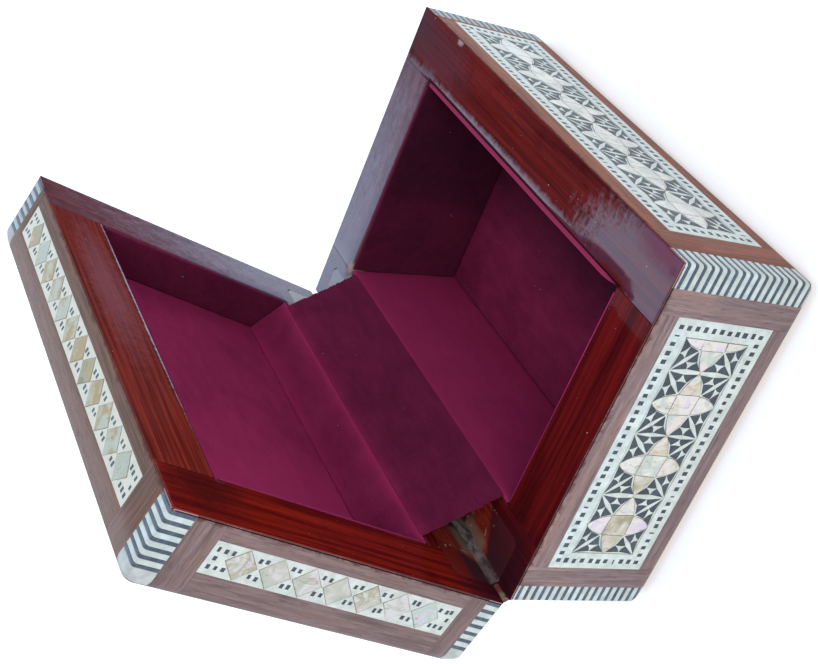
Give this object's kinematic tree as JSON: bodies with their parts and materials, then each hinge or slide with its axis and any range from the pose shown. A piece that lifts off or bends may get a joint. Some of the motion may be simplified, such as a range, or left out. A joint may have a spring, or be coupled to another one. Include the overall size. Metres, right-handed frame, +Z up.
{
  "type": "inlaid wooden box",
  "caption": "Small hinged wooden box with bone and mother-of-pearl inlay panels, striped corners, red-stained rims and a velvet lining, shown with its lid open.",
  "frame": {"origin": "centre of the box outline on the underside", "axes": "+Z up, +X along the hinge to the right as seen from the front, front at -Y, hinge at +Y"},
  "size_m": [0.08, 0.0661, 0.0793],
  "materials": {
    "stained_wood": "red stain under gloss varnish",
    "plain_wood": "plain board",
    "walnut_veneer": "satin varnish",
    "bone": "polished bone",
    "dark_wood": "blue-black stained wood",
    "mother_of_pearl": "polished shell",
    "velvet": "burgundy velvet",
    "felt": "burgundy felt",
    "hinge_brass": "tarnished, stained over",
    "steel": "drawn wire and cut nails"
  },
  "bodies": {
    "base": {"base_back_lining": "velvet", "base_back_panel": "dark_wood", "base_back_veneer": "walnut_veneer", "base_back_wall": "stained_wood", "base_bottom_board": "plain_wood", "base_bottom_felt": "felt", "base_corner_bone_strips": "bone", "base_corner_dark_strips": "dark_wood", "base_floor_lining": "velvet", "base_front_lining": "velvet", "base_front_panel": "dark_wood", "base_front_veneer": "walnut_veneer", "base_front_wall": "stained_wood", "base_left_lining": "velvet", "base_left_panel": "dark_wood", "base_left_veneer": "walnut_veneer", "base_left_wall": "stained_wood", "base_panel_borders": "bone", "base_pearl_flowers": "mother_of_pearl", "base_right_lining": "velvet", "base_right_panel": "dark_wood", "base_right_veneer": "walnut_veneer", "base_right_wall": "stained_wood", "hinge_base_leaf": "hinge_brass", "hinge_base_nails": "steel", "hinge_pin": "steel", "velvet_hinge_strip": "velvet"},
    "lid": {"hinge_lid_leaf": "hinge_brass", "hinge_lid_nails": "steel", "lid_back_lining": "velvet", "lid_back_panel": "bone", "lid_back_veneer": "walnut_veneer", "lid_back_wall": "stained_wood", "lid_corner_bone_strips": "bone", "lid_corner_dark_strips": "dark_wood", "lid_front_lining": "velvet", "lid_front_panel": "bone", "lid_front_veneer": "walnut_veneer", "lid_front_wall": "stained_wood", "lid_left_lining": "velvet", "lid_left_panel": "bone", "lid_left_veneer": "walnut_veneer", "lid_left_wall": "stained_wood", "lid_pearl_lozenges": "mother_of_pearl", "lid_right_lining": "velvet", "lid_right_panel": "bone", "lid_right_veneer": "walnut_veneer", "lid_right_wall": "stained_wood", "lid_top_board": "plain_wood", "lid_top_border": "bone", "lid_top_lining": "velvet", "lid_top_panel": "dark_wood", "lid_top_pearl_flowers": "mother_of_pearl", "lid_top_veneer": "walnut_veneer"}
  },
  "joints": [
    {"name": "lid_hinge", "type": "hinge", "parent": "base", "child": "lid", "pos_m": [0, 0.0275, 0.0238], "axis": [-1, 0, 0], "range_deg": [-75, 0], "deforming": ["velvet_hinge_strip"]}
  ]
}
